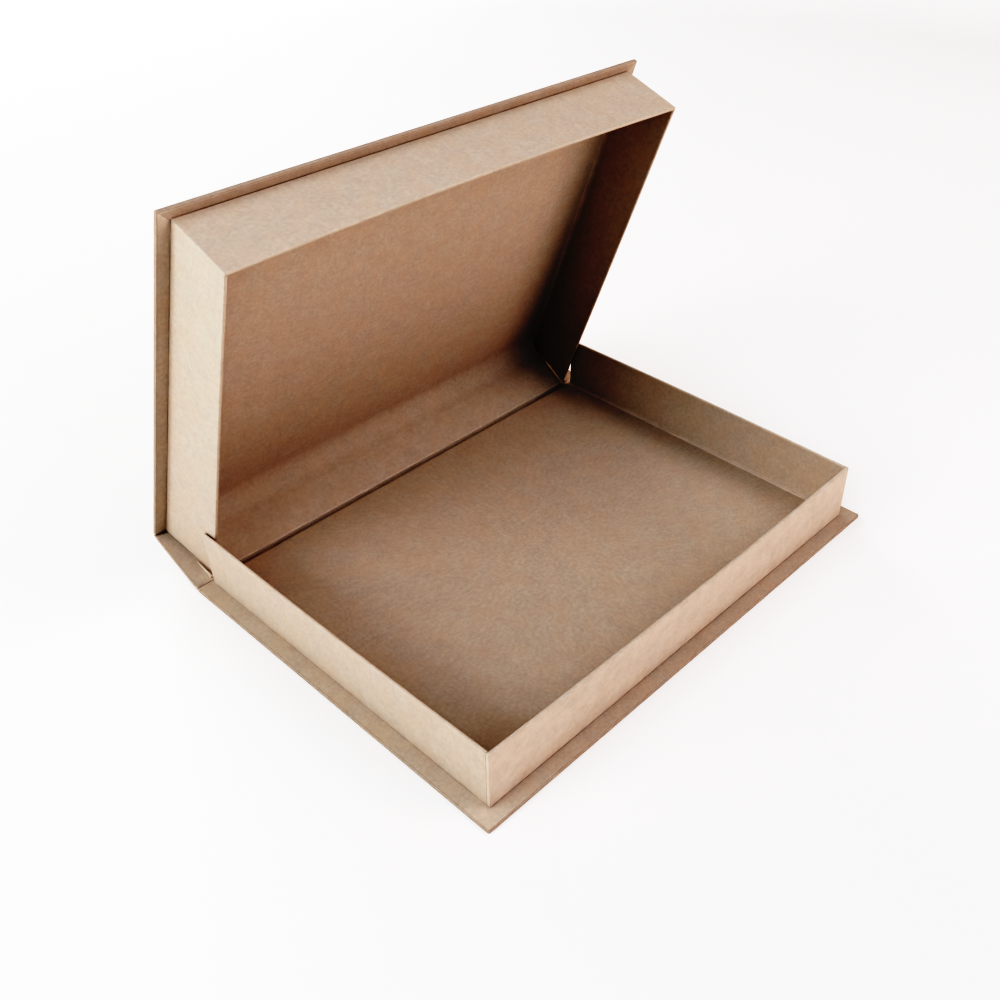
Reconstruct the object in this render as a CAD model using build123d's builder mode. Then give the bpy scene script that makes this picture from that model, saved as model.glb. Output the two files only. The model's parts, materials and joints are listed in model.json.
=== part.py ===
"""Clamshell book box for A4 papers: a three-board case that carries two open trays.

The case is a base board, a spine board and a lid board in one cover paper, which folds
in the grooves between them. The base tray is glued on the base board. The lid tray is
a little larger and drops over the base tray when the box is closed.

Frame: +X along the spine, +Y from the front edge to the spine, +Z up. The origin is the
centre of the base board's underside. Every leaf of the case is drawn in a frame of its
own: the origin is on the leaf's fold axis, y runs away from the fold and z points to the
inside of the box, so y and z sizes below are distances from the fold axis.
"""

import os
from math import cos, radians, sin

from build123d import *

os.makedirs("parts", exist_ok=True)

# ---- Driving dimensions, in millimetres and degrees ----

# Case
case_width = 325.0  # along the spine
base_depth = 235.0  # front edge to the base fold's groove
spine_pitch = 43.6  # base fold axis to lid fold axis
case_board = 2.0  # greyboard of the three leaves
paper = 0.2  # kraft paper, everywhere
base_groove = 1.9  # fold axis to the leaf on each side of the base fold
lid_groove = 2.9  # fold axis to the leaf on each side of the lid fold
fold_gap = 0.1  # fold axis to where each leaf's share of the paper ends
lid_setback = 0.5  # lid edge behind the base edge when the box is closed
turn_in = 15.0  # cover paper turned over onto the inner face
lining_overlap = 20.0  # hinge lining glued under each tray

# Trays
wall_board = 1.6
floor_board = 1.6
lid_side_flange = 6.7  # case edge to the lid tray's side wall
lid_end_flange = 5.3  # case edge to the lid tray's end wall
side_clearance = 0.6  # between the two trays' side walls when closed
end_clearance = 0.8  # between the two trays' front walls when closed
rim_clearance = 0.8  # lid tray's rim to the base leaf when closed
tray_headroom = 2.8  # base tray's rim to the lid tray's floor when closed
wall_end_clearance = 0.3  # lid tray's wall ends to the spine leaf when closed
stay_leg = 12.0  # corner stay, each way from the corner
stay_thickness = 0.1

# Spine stiffener
stiffener_board = 1.4
stiffener_clearance = 0.2  # to each tray's open end when closed

# How far the box stands open
spine_angle = 22.9  # spine leaf above the ground
lid_angle = 86.5  # lid leaf beyond the spine leaf's own direction

# ---- Worked out ----

case_thickness = case_board + 2 * paper
leaf_face = case_thickness / 2  # inner face of every leaf
leaf_back = -case_thickness / 2  # outer face of every leaf
wall_thickness = wall_board + 2 * paper
tray_floor_top = leaf_face + floor_board + paper
stiffener_top = leaf_face + stiffener_board + paper
tray_open_end = stiffener_top + stiffener_clearance

base_end = base_groove + base_depth
lid_end = base_end - lid_setback
spine_end = spine_pitch - lid_groove
closed_height = spine_pitch - case_thickness

lid_half_width = case_width / 2 - lid_side_flange
base_half_width = lid_half_width - wall_thickness - side_clearance
lid_tray_end = lid_end - lid_end_flange
base_tray_end = lid_tray_end - wall_thickness - end_clearance
lid_rim = leaf_face + closed_height - rim_clearance
base_rim = leaf_face + closed_height - floor_board - paper - tray_headroom

spine_rise = radians(spine_angle)
lid_rise = radians(spine_angle + lid_angle)
base_fold = Vector(0, base_depth / 2 + base_groove, -leaf_back)
lid_fold = base_fold + Vector(0, cos(spine_rise), sin(spine_rise)) * spine_pitch

base_frame = Plane(origin=base_fold, x_dir=(-1, 0, 0), z_dir=(0, 0, 1))
spine_frame = Plane(origin=base_fold, x_dir=(1, 0, 0), z_dir=(0, -sin(spine_rise), cos(spine_rise)))
lid_frame = Plane(origin=lid_fold, x_dir=(1, 0, 0), z_dir=(0, -sin(lid_rise), cos(lid_rise)))


# ---- Tools ----


def across(half):
    """The x limits of something centred on the box."""
    return (-half, half)


def block(frame, x, y, z, mode=Mode.ADD):
    """A box in a leaf's frame, from (low, high) limits along its x, y and z."""
    with BuildSketch(frame.offset(z[0])) as outline:
        with Locations(((x[0] + x[1]) / 2, (y[0] + y[1]) / 2)):
            Rectangle(x[1] - x[0], y[1] - y[0])
    extrude(outline.sketch, amount=z[1] - z[0], mode=mode)


def finish(piece, name):
    """Label a finished piece and write its file."""
    piece.part.label = name
    export_step(piece.part, f"parts/{name}.step")


# ---- Case leaves ----

board_half = case_width / 2 - paper
lining_half = case_width / 2 - turn_in
board_z = (leaf_back + paper, leaf_face - paper)
groove_lining_z = (leaf_back + paper, leaf_back + 2 * paper)
inner_paper_z = (leaf_face - paper, leaf_face)
tuck_z = (leaf_back + paper, leaf_face)


def make_leaf_board(name, frame, y):
    """The greyboard inside one leaf of the case."""
    with BuildPart() as leaf_board:
        block(frame, across(board_half), (y[0] + paper, y[1] - paper), board_z)
    finish(leaf_board, name)


def make_edge_leaf_papers(leaf, frame, start, end):
    """Cover and hinge lining of a leaf with one fold, at y = 0, and three free edges."""
    with BuildPart() as cover_paper:
        block(frame, across(case_width / 2), (start, end), (leaf_back, leaf_face))
        block(frame, across(case_width / 2), (fold_gap, start), (leaf_back, groove_lining_z[1]))
        block(frame, across(board_half), (start + paper, end - paper), board_z, Mode.SUBTRACT)
        block(frame, across(lining_half), (start, end - turn_in), inner_paper_z, Mode.SUBTRACT)
        block(frame, across(lining_half), (start, start + paper), tuck_z, Mode.SUBTRACT)
        block(frame, across(lining_half), (fold_gap, start), groove_lining_z, Mode.SUBTRACT)
    finish(cover_paper, f"{leaf}_cover_paper")

    with BuildPart() as hinge_lining:
        block(frame, across(lining_half), (start, start + lining_overlap), inner_paper_z)
        block(frame, across(lining_half), (start, start + paper), tuck_z)
        block(frame, across(lining_half), (fold_gap, start), groove_lining_z)
    finish(hinge_lining, f"{leaf}_hinge_lining")


make_leaf_board("base_board", base_frame, (base_groove, base_end))
make_leaf_board("spine_board", spine_frame, (base_groove, spine_end))
make_leaf_board("lid_board", lid_frame, (lid_groove, lid_end))
make_edge_leaf_papers("base", base_frame, base_groove, base_end)
make_edge_leaf_papers("lid", lid_frame, lid_groove, lid_end)

spine_y = (base_groove, spine_end)
spine_paper_y = (fold_gap, spine_pitch - fold_gap)

with BuildPart() as spine_cover_paper:
    block(spine_frame, across(case_width / 2), spine_y, (leaf_back, leaf_face))
    block(spine_frame, across(case_width / 2), spine_paper_y, (leaf_back, groove_lining_z[1]))
    block(spine_frame, across(board_half), (spine_y[0] + paper, spine_y[1] - paper), board_z, Mode.SUBTRACT)
    block(spine_frame, across(lining_half), spine_paper_y, (leaf_back + paper, leaf_face), Mode.SUBTRACT)
finish(spine_cover_paper, "spine_cover_paper")

with BuildPart() as spine_lining:
    block(spine_frame, across(lining_half), spine_y, tuck_z)
    block(spine_frame, across(lining_half), spine_paper_y, groove_lining_z)
    block(spine_frame, across(lining_half), (spine_y[0] + paper, spine_y[1] - paper), board_z, Mode.SUBTRACT)
finish(spine_lining, "spine_lining")

# ---- Spine stiffener ----

stiffener_z = (leaf_face, leaf_face + stiffener_board)
stiffener_half = base_half_width

with BuildPart() as spine_stiffener:
    block(spine_frame, across(stiffener_half - paper), (spine_y[0] + paper, spine_y[1] - paper), stiffener_z)
finish(spine_stiffener, "spine_stiffener")

with BuildPart() as spine_stiffener_wrap:
    block(spine_frame, across(stiffener_half), spine_y, (leaf_face, stiffener_top))
    block(
        spine_frame,
        across(stiffener_half - paper),
        (spine_y[0] + paper, spine_y[1] - paper),
        stiffener_z,
        Mode.SUBTRACT,
    )
finish(spine_stiffener_wrap, "spine_stiffener_wrap")

# ---- Trays ----


def make_tray(tray, end_wall, frame, half_width, wall_start, end, rim, left_x):
    """Floor, three walls, corner stays, wrap and floor lining of a tray that is open at the fold.

    left_x is the sign of x on the box's left side in this leaf's frame.
    """
    board_outer = half_width - paper
    board_inner = board_outer - wall_board
    inner_face = half_width - wall_thickness
    end_outer = end - paper
    end_inner = end_outer - wall_board
    wall_y = (wall_start + paper, end_inner)
    wall_z = (leaf_face, rim - paper)
    floor_y = (tray_open_end, end_inner)
    floor_z = (leaf_face, leaf_face + floor_board)

    def side(x_inner, x_outer, sign):
        return tuple(sorted((sign * x_inner, sign * x_outer)))

    with BuildPart() as floor_piece:
        block(frame, across(board_inner), floor_y, floor_z)
    finish(floor_piece, f"{tray}_floor")

    for name, sign in (("left", left_x), ("right", -left_x)):
        with BuildPart() as side_wall:
            block(frame, side(board_inner, board_outer, sign), wall_y, wall_z)
        finish(side_wall, f"{tray}_{name}_wall")

        with BuildPart() as corner_stay:
            stay_outer = board_outer + stay_thickness
            stay_x = side(board_outer - stay_leg, stay_outer, sign)
            stay_y = (end_outer - stay_leg, end_outer + stay_thickness)
            block(frame, stay_x, stay_y, wall_z)
            inside_x = side(board_outer - stay_leg, board_outer, sign)
            block(frame, inside_x, (stay_y[0], end_outer), wall_z, Mode.SUBTRACT)
        finish(corner_stay, f"{tray}_{name}_corner_stay")

    with BuildPart() as end_wall_piece:
        block(frame, across(board_outer), (end_inner, end_outer), wall_z)
    finish(end_wall_piece, f"{tray}_{end_wall}_wall")

    with BuildPart() as wrap:
        block(frame, across(half_width), (wall_start, end), (leaf_face, rim))
        block(frame, across(inner_face), (wall_start, end - wall_thickness), (leaf_face, rim), Mode.SUBTRACT)
        block(frame, across(board_inner), floor_y, floor_z, Mode.SUBTRACT)
        block(frame, across(board_outer), (end_inner, end_outer), wall_z, Mode.SUBTRACT)
        for sign in (-1, 1):
            block(frame, side(board_inner, board_outer, sign), wall_y, wall_z, Mode.SUBTRACT)
            stay_x = side(board_outer, board_outer + stay_thickness, sign)
            block(frame, stay_x, (end_outer - stay_leg, end_outer + stay_thickness), wall_z, Mode.SUBTRACT)
            end_stay_x = side(board_outer - stay_leg, board_outer, sign)
            block(frame, end_stay_x, (end_outer, end_outer + stay_thickness), wall_z, Mode.SUBTRACT)
    finish(wrap, f"{tray}_wrap")

    with BuildPart() as floor_lining:
        lining_y = (tray_open_end, end - wall_thickness)
        block(frame, across(inner_face), lining_y, (leaf_face + floor_board, tray_floor_top))
    finish(floor_lining, f"{tray}_floor_lining")


make_tray("base_tray", "front", base_frame, base_half_width, tray_open_end, base_tray_end, base_rim, 1)
make_tray(
    "lid_tray", "end", lid_frame, lid_half_width, leaf_face + wall_end_clearance, lid_tray_end, lid_rim, -1
)
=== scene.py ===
"""Looks of the clamshell book box: kraft paper over greyboard, on a pale floor in soft light.

Lengths are metres, written as millimetres times MM. Each piece is drawn in the frame of the
leaf that carries it: x across the box, y away from the leaf's fold, z to the box's inside.
A surface is a grid of points, columns by rows, with a value of wear and painted light for each
point: scuffed from 0 to 1, and all pale at 2, which some pieces use as painted light. Below 0 it
is painted shade, fully at -1.
"""

import json
import math

import bmesh
import bpy
import numpy as np
from mathutils import Matrix, Vector


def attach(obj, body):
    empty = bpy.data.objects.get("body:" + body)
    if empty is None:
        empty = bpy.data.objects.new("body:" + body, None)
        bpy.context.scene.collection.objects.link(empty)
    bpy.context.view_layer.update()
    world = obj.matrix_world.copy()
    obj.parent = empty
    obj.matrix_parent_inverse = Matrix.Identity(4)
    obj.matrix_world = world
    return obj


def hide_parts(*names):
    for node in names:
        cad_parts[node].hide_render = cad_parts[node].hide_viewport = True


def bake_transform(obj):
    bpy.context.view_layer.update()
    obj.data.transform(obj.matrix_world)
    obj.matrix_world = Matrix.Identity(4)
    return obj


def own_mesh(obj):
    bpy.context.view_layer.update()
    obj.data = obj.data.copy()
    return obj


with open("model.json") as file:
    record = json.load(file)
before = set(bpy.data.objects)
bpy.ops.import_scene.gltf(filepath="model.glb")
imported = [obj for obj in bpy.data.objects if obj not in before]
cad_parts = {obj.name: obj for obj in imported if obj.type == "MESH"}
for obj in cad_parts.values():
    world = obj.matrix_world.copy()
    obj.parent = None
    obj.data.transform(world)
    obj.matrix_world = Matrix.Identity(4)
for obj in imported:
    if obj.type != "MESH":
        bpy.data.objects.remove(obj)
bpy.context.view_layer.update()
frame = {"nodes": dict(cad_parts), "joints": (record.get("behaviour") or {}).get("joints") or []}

MM = 0.001
SIGN = {"left": -1, "right": 1}  # of x, on each side of the box
joints = {joint["name"]: joint for joint in frame["joints"]}


# ---- Leaf frames ----


class Leaf:
    """The frame of one leaf of the case, with its origin on the leaf's fold axis."""

    def __init__(self, body, fold, away, inside):
        self.body = body
        self.origin = np.array(joints[fold]["pos_m"])
        self.axes = np.array([(1, 0, 0), away, inside], float)

    def place(self, points):
        """Points of this frame, in the row's frame."""
        return self.origin + np.asarray(points, float) @ self.axes

    def limits(self, node):
        """The lowest and highest corner of a CAD node, in this frame."""
        row = np.array([vertex.co for vertex in frame["nodes"][node].data.vertices])
        own = (row - self.origin) @ self.axes.T
        return own.min(axis=0), own.max(axis=0)


def risen(angle):
    """The away and inside directions of a leaf that rises from the ground by an angle."""
    return (0, math.cos(angle), math.sin(angle)), (0, -math.sin(angle), math.cos(angle))


spine_rise = -math.radians(joints["base_fold"]["range_deg"][0])
lid_turn = -math.radians(joints["lid_fold"]["range_deg"][0])
base = Leaf("base", "base_fold", (0, -1, 0), (0, 0, 1))
spine = Leaf("spine", "base_fold", *risen(spine_rise))
lid = Leaf("lid", "lid_fold", *risen(spine_rise + lid_turn))

CASE_HALF, _, FACE = base.limits("base_cover_paper")[1]
PAPER = FACE - base.limits("base_board")[1][2]
SKIN = 0.9 * PAPER  # drawn thickness, so that no skin lies on its board
LINING_HALF = base.limits("base_hinge_lining")[1][0]
TURN_IN = CASE_HALF - LINING_HALF


# ---- Paper and board materials ----

KRAFT_LIGHT = (0.488, 0.414, 0.343)
KRAFT_DARK = (0.358, 0.304, 0.252)
KRAFT_RUST = (0.46, 0.34, 0.25)
# The pale colour below serves scuffs and painted light; the dark one after it serves specks and painted
# shade.
KRAFT_PALE = (0.64, 0.53, 0.44)
KRAFT_SPECK_AND_PAINTED_SHADE = (0.10, 0.065, 0.045)
GREYBOARD_LIGHT = (0.44, 0.42, 0.39)
GREYBOARD_DARK = (0.30, 0.28, 0.26)
CLOUD_SIZE = 9 * MM
TINT_SIZE = 14 * MM
GRAIN_SIZE = 2.2 * MM
FIBRE_WIDTH = 0.35 * MM
FIBRE_LENGTH = 5 * MM
FIBRE_DISTORTION = 1.2
UNDULATION_SIZE = 45 * MM
UNDULATION_HEIGHT = 0.3 * MM
CLOUD_HEIGHT = 0.03 * MM
FIBRE_HEIGHT = 0.04 * MM
CLOUD_SHARE = 0.3
GRAIN_SHARE = 0.5
SPECK_SHARE = 0.15
TINT_SHARE = 0.25
SCUFF_SHARE = 0.6
# how far painted shade darkens the paper, at -1
PAINTED_SHADE_SHARE = 0.85
TONE_RANGE = (0.3, 0.7)  # of the mixed noise that becomes the tone, dark to light
TINT_RANGE = (0.35, 0.65)
SPECK_RANGE = (0.66, 0.72)
SCUFF_RANGE = (0.1, 0.9)
KRAFT_ROUGHNESS = (0.78, 0.92)
KRAFT_SPECULAR = 0.2
BOARD_CLOUD_SIZE = 3 * MM
BOARD_TONE_RANGE = (0.55, 0.95)
BOARD_ROUGHNESS = 0.95
FLECK_SIZE = 0.7 * MM
FLECK_SHARE = 0.5
FLECK_HEIGHT = 0.06 * MM
EDGE_WEAR = 0.15  # of paper over a tray wall's edge
FAINT_WEAR = 0.1  # beside such an edge
CASE_EDGE_PAINTED_SHADE = -0.35  # painted shade on the case's board edges, a little dark
CUT_EDGE_PALE_AND_HIGHLIGHT = 1.4  # of a lining's cut edge: pale raw paper, with a painted highlight


def add_node(tree, kind, links=None, **settings):
    """A shader node with its settings, and its inputs as sockets to link or plain values."""
    made = tree.nodes.new(kind)
    for name, value in settings.items():
        setattr(made, name, value)
    for name, value in (links or {}).items():
        if isinstance(value, bpy.types.NodeSocket):
            tree.links.new(value, made.inputs[name])
        else:
            made.inputs[name].default_value = value
    return made


def ramp(tree, value, low, high):
    """A value mapped from low..high to 0..1."""
    links = {"Value": value, "From Min": low, "From Max": high}
    return add_node(tree, "ShaderNodeMapRange", links).outputs["Result"]


def ramp_to(tree, value, low, high):
    """A 0..1 value mapped to low..high."""
    links = {"Value": value, "To Min": low, "To Max": high}
    return add_node(tree, "ShaderNodeMapRange", links).outputs["Result"]


def mix_colour(tree, factor, first, second):
    """Two colours, given as sockets or tuples, mixed by a factor."""
    mixed = add_node(tree, "ShaderNodeMix", data_type="RGBA")
    for index, value in ((0, factor), (6, first), (7, second)):
        if isinstance(value, tuple):
            mixed.inputs[index].default_value = (*value, 1)
        else:
            tree.links.new(value, mixed.inputs[index])
    return mixed.outputs[2]


def math_node(tree, operation, first, second):
    """Two values joined by one operation."""
    made = add_node(tree, "ShaderNodeMath", {0: first, 1: second}, operation=operation)
    return made.outputs[0]


def noise_value(tree, coords, size, detail=2.0, roughness=0.55):
    """Soft noise with blobs of about a size."""
    links = {"Vector": coords, "Scale": 1 / size, "Detail": detail, "Roughness": roughness}
    return add_node(tree, "ShaderNodeTexNoise", links).outputs["Fac"]


def fibre_value(tree, coords, along):
    """Thin streaks that run along one axis of the sheet."""
    size = [FIBRE_WIDTH] * 3
    size[along] = FIBRE_LENGTH
    links = {"Vector": coords, "Scale": [1 / length for length in size]}
    stretched = add_node(tree, "ShaderNodeMapping", links).outputs["Vector"]
    links = {"Vector": stretched, "Scale": 1.0, "Detail": 2.0, "Distortion": FIBRE_DISTORTION}
    return add_node(tree, "ShaderNodeTexNoise", links).outputs["Fac"]


def sheet_coords(tree, rise, shift):
    """Object coordinates turned flat to a leaf, and moved so that no two sheets match."""
    coords = add_node(tree, "ShaderNodeTexCoord").outputs["Object"]
    links = {"Vector": coords, "Rotation": (-rise, 0, 0), "Location": (shift, 0, shift)}
    return add_node(tree, "ShaderNodeMapping", links).outputs["Vector"]


def start_material(name):
    """An empty node material and its Principled shader."""
    material = bpy.data.materials.new(name)
    material.use_nodes = True
    tree = material.node_tree
    tree.nodes.clear()
    shader = add_node(tree, "ShaderNodeBsdfPrincipled")
    add_node(tree, "ShaderNodeOutputMaterial", {"Surface": shader.outputs["BSDF"]})
    return material, tree, shader


def link_bump(tree, shader, heights):
    """Bump from several (value, height in metres), each on top of the one before."""
    normal = None
    for value, height in heights:
        links = {"Height": value, "Distance": height}
        if normal is not None:
            links["Normal"] = normal
        normal = add_node(tree, "ShaderNodeBump", links).outputs["Normal"]
    tree.links.new(normal, shader.inputs["Normal"])


def paper_tone(tree, clouds, grain, fibres):
    """The light and dark of the pulp, from 0 to 1."""
    tone = math_node(tree, "MULTIPLY", clouds, CLOUD_SHARE)
    tone = math_node(tree, "ADD", tone, math_node(tree, "MULTIPLY", grain, GRAIN_SHARE))
    fibre_share = 1 - CLOUD_SHARE - GRAIN_SHARE
    tone = math_node(tree, "ADD", tone, math_node(tree, "MULTIPLY", fibres, fibre_share))
    return ramp(tree, tone, *TONE_RANGE)


def worn_with_painted_light(tree, colour, clouds):
    """A colour with pale scuffs in patches of the clouds, all pale from 1 to 2, and painted shade below
    0.
    """
    wear_and_painted_light = add_node(tree, "ShaderNodeAttribute", attribute_name="wear_and_painted_light").outputs["Fac"]
    # pale patches: scuffs, and painted light where a piece is painted paler
    scuffs_and_painted_light = math_node(tree, "MULTIPLY", ramp(tree, wear_and_painted_light, 0, 1), ramp(tree, clouds, *SCUFF_RANGE))
    pale = math_node(tree, "MULTIPLY", scuffs_and_painted_light, SCUFF_SHARE)
    pale = math_node(tree, "MAXIMUM", pale, ramp(tree, wear_and_painted_light, 1, 2))
    colour = mix_colour(tree, pale, colour, KRAFT_PALE)
    # painted shade, where the value is below 0
    painted_shade = math_node(tree, "MULTIPLY", ramp(tree, wear_and_painted_light, 0, -1), PAINTED_SHADE_SHARE)
    return mix_colour(tree, painted_shade, colour, KRAFT_SPECK_AND_PAINTED_SHADE)


def make_kraft(name, rise, shift):
    """Uncoated kraft paper: clouded pulp, crossing fibres, a few specks, worn folds, and the painted
    light and painted shade that the pieces carry.

    rise is the leaf's angle from the ground, and shift moves the pattern along the sheet.
    """
    material, tree, shader = start_material(name)
    coords = sheet_coords(tree, rise, shift)
    clouds = noise_value(tree, coords, CLOUD_SIZE, detail=5.0, roughness=0.72)
    grain = noise_value(tree, coords, GRAIN_SIZE, detail=4.0, roughness=0.7)
    fibres = math_node(tree, "ADD", fibre_value(tree, coords, 0), fibre_value(tree, coords, 1))
    fibres = math_node(tree, "MULTIPLY", fibres, 0.5)
    colour = mix_colour(tree, paper_tone(tree, clouds, grain, fibres), KRAFT_DARK, KRAFT_LIGHT)
    tint = ramp(tree, noise_value(tree, coords, TINT_SIZE, detail=2.0), *TINT_RANGE)
    colour = mix_colour(tree, math_node(tree, "MULTIPLY", tint, TINT_SHARE), colour, KRAFT_RUST)
    specks = math_node(tree, "MULTIPLY", ramp(tree, fibres, *SPECK_RANGE), SPECK_SHARE)
    colour = mix_colour(tree, specks, colour, KRAFT_SPECK_AND_PAINTED_SHADE)
    tree.links.new(worn_with_painted_light(tree, colour, clouds), shader.inputs["Base Color"])
    tree.links.new(ramp_to(tree, grain, *KRAFT_ROUGHNESS), shader.inputs["Roughness"])
    shader.inputs["Specular IOR Level"].default_value = KRAFT_SPECULAR
    undulation = noise_value(tree, coords, UNDULATION_SIZE, detail=1.0)
    heights = [(undulation, UNDULATION_HEIGHT), (clouds, CLOUD_HEIGHT), (fibres, FIBRE_HEIGHT)]
    link_bump(tree, shader, heights)
    return material


def make_greyboard():
    """Recycled board: grey pulp with darker flecks."""
    material, tree, shader = start_material("greyboard")
    coords = sheet_coords(tree, 0, 0)
    clouds = noise_value(tree, coords, BOARD_CLOUD_SIZE, detail=4.0)
    flecks = noise_value(tree, coords, FLECK_SIZE, detail=2.0)
    tone = math_node(tree, "ADD", clouds, math_node(tree, "MULTIPLY", flecks, FLECK_SHARE))
    colour = mix_colour(tree, ramp(tree, tone, *BOARD_TONE_RANGE), GREYBOARD_DARK, GREYBOARD_LIGHT)
    tree.links.new(colour, shader.inputs["Base Color"])
    shader.inputs["Roughness"].default_value = BOARD_ROUGHNESS
    link_bump(tree, shader, [(flecks, FLECK_HEIGHT)])
    return material


# One paper for each leaf, turned with it and moved so that no two look the same.
kraft = {
    "base": make_kraft("kraft_base", 0, 0.0),
    "spine": make_kraft("kraft_spine", spine_rise, 0.31),
    "lid": make_kraft("kraft_lid", spine_rise + lid_turn, 0.73),
}
greyboard = make_greyboard()


# ---- Mesh building ----

MERGE_DISTANCE = 0.002 * MM


def grid_faces(columns, rows):
    """The quads of a grid of points, columns by rows, as numbers of its points."""
    faces = []
    for i in range(columns - 1):
        for j in range(rows - 1):
            corner = i * rows + j
            faces.append((corner, corner + rows, corner + rows + 1, corner + 1))
    return faces


def face_outward(mesh, faces, inner):
    """Turns faces consistently, so that on the whole they face away from a point."""
    bmesh.ops.recalc_face_normals(mesh, faces=faces)
    outward = sum((f.calc_center_median() - inner).dot(f.normal) * f.calc_area() for f in faces)
    if outward < 0:
        bmesh.ops.reverse_faces(mesh, faces=faces)


class Surfaces:
    """Grids of points that become one mesh, each facing away from a point on its hidden side."""

    def __init__(self):
        self.parts = []

    def add(self, points, hidden, wear_and_painted_light=0.0, cap=False):
        """Adds a grid (columns, rows, 3). cap closes its first row with one face."""
        points = np.asarray(points, float)
        wear_and_painted_light = np.broadcast_to(np.asarray(wear_and_painted_light, float), points.shape[:2])
        self.parts.append((points, np.asarray(hidden, float), wear_and_painted_light, cap))

    def mesh(self, name, leaf):
        """One mesh in the row's frame."""
        whole = bmesh.new()
        layer = whole.verts.layers.float.new("wear_and_painted_light")
        for points, hidden, wear_and_painted_light, cap in self.parts:
            vertices = []
            for place, value in zip(leaf.place(points.reshape(-1, 3)), wear_and_painted_light.ravel()):
                vertex = whole.verts.new(place)
                vertex[layer] = value
                vertices.append(vertex)
            faces = []
            for corners in grid_faces(*points.shape[:2]):
                faces.append(whole.faces.new([vertices[corner] for corner in corners]))
            if cap:
                faces.append(whole.faces.new(vertices[:: points.shape[1]]))
            bmesh.ops.remove_doubles(whole, verts=vertices, dist=MERGE_DISTANCE)
            faces = [face for face in faces if face.is_valid]
            face_outward(whole, faces, Vector(leaf.place(hidden)))
        mesh = bpy.data.meshes.new(name)
        whole.to_mesh(mesh)
        whole.free()
        mesh.shade_smooth()
        return mesh


def add_object(name, data):
    """An object for a mesh, lamp or camera, in the scene."""
    made = bpy.data.objects.new(name, data)
    bpy.context.scene.collection.objects.link(made)
    return made


def add_piece(name, mesh, material, nodes=()):
    """An object for a mesh, with its material and the CAD nodes that it stands for."""
    piece = add_object(name, mesh)
    piece.data.materials.append(material)
    if nodes:
        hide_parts(*nodes)
    return piece


def thicken(piece, thickness):
    """Gives a sheet its thickness, to its hidden side."""
    solid = piece.modifiers.new("paper", "SOLIDIFY")
    solid.thickness = thickness
    solid.offset = -1
    weighted = piece.modifiers.new("normals", "WEIGHTED_NORMAL")
    weighted.keep_sharp = True


def add_paper(name, leaf, surfaces, nodes=(), thickness=SKIN):
    """A paper piece that rides on its leaf."""
    piece = add_piece(name, surfaces.mesh(name, leaf), kraft[leaf.body], nodes)
    thicken(piece, thickness)
    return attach(piece, leaf.body)


def arc(centre, radius, start, stop, steps=4):
    """Points on an arc between two angles in degrees."""
    angles = np.radians(np.linspace(start, stop, steps + 1))
    return [(centre[0] + radius * math.cos(a), centre[1] + radius * math.sin(a)) for a in angles]


def spaced(start, stop, step):
    """Evenly spaced values about a step apart, ends included."""
    return np.linspace(start, stop, max(2, int(round(abs(stop - start) / step)) + 1))


# ---- Case papers ----

EDGE_RADIUS = 0.45 * MM  # paper over a board's edge
CORNER_RADIUS = 0.9 * MM  # leaf corner in plan
SMALLEST_RADIUS = 0.01 * MM  # of a corner's inner rows
TURN_IN_STEP = 3 * MM
MITRE_WIDTH = 0.3 * MM
MITRE_COLUMNS = np.array((10, 3, 1))  # columns on the way to the mitre, in its widths
MITRE_DEPTH = 0.06 * MM
MITRE_LIFT = 0.04 * MM  # the flap that lies on top, beside the mitre
MITRE_WEAR = 0.3
LID_FLANGE_PAINTED_SHADE = -0.25  # painted shade on the lid's end flap, beside its tray's end wall
COLUMN_STEP = 8 * MM
EDGE_COLUMNS = 24  # along each side, and along half of the end


def edge_section():
    """(inset, height, wear and painted light) from a leaf's outer face, round its edge and along the
    turn-in; the round of the edge has painted shade.
    """
    low, high = -FACE, FACE
    radius = EDGE_RADIUS
    rows = [(TURN_IN, low, 0), (3 * radius, low, 0), (1.4 * radius, low, 0)]
    # painted shade round the board's edge
    rows += [(x, y, CASE_EDGE_PAINTED_SHADE) for x, y in arc((radius, low + radius), radius, 270, 180)]
    rows += [(x, y, CASE_EDGE_PAINTED_SHADE) for x, y in arc((radius, high - radius), radius, 180, 90)]
    rows += [(1.4 * radius, high, 0), (3 * radius, high, 0)]
    rows += [(inset, high, 0) for inset in spaced(4 * radius, TURN_IN, TURN_IN_STEP)]
    return rows


def leaf_edge_points(start, end, inset):
    """One row of the band round a leaf's three free edges, with each point's mitre place.

    The mitre place is the distance from the corner's diagonal, negative on the side flaps.
    """
    radius = max(CORNER_RADIUS - inset, SMALLEST_RADIUS)
    x_edge = CASE_HALF - inset
    y_edge = end - inset
    near = MITRE_WIDTH * MITRE_COLUMNS
    side_end = y_edge - radius
    flat_end = x_edge - radius
    side = np.linspace(start, side_end - near[0], EDGE_COLUMNS)
    points = [(-x_edge, y, y - side_end) for y in [*side[:-1], *(side_end - near)]]
    points += [(x, y, 0) for x, y in arc((-x_edge + radius, side_end), radius, 180, 90)]
    half = [*(flat_end - near[::-1]), *np.linspace(flat_end - near[0], 0, EDGE_COLUMNS)[1:]]
    points += [(-x, y_edge, flat_end - x) for x in half]
    mirrored = [(-x, y, mitre) for x, y, mitre in points[:-1][::-1]]
    return points + mirrored


def on_turn_in(inset, height):
    """Whether a point of a leaf's band lies on its inner face."""
    return height >= FACE and inset >= 2 * EDGE_RADIUS


def crease(mitre, inset, height):
    """How far the turn-in sinks at a corner's mitre, and rises beside it."""
    if not on_turn_in(inset, height):
        return 0.0
    if abs(mitre) < 0.5 * MITRE_WIDTH:
        return -MITRE_DEPTH
    if mitre > 0:
        return MITRE_LIFT * max(0.0, 1 - mitre / (MITRE_COLUMNS[0] * MITRE_WIDTH))
    return 0.0


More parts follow.
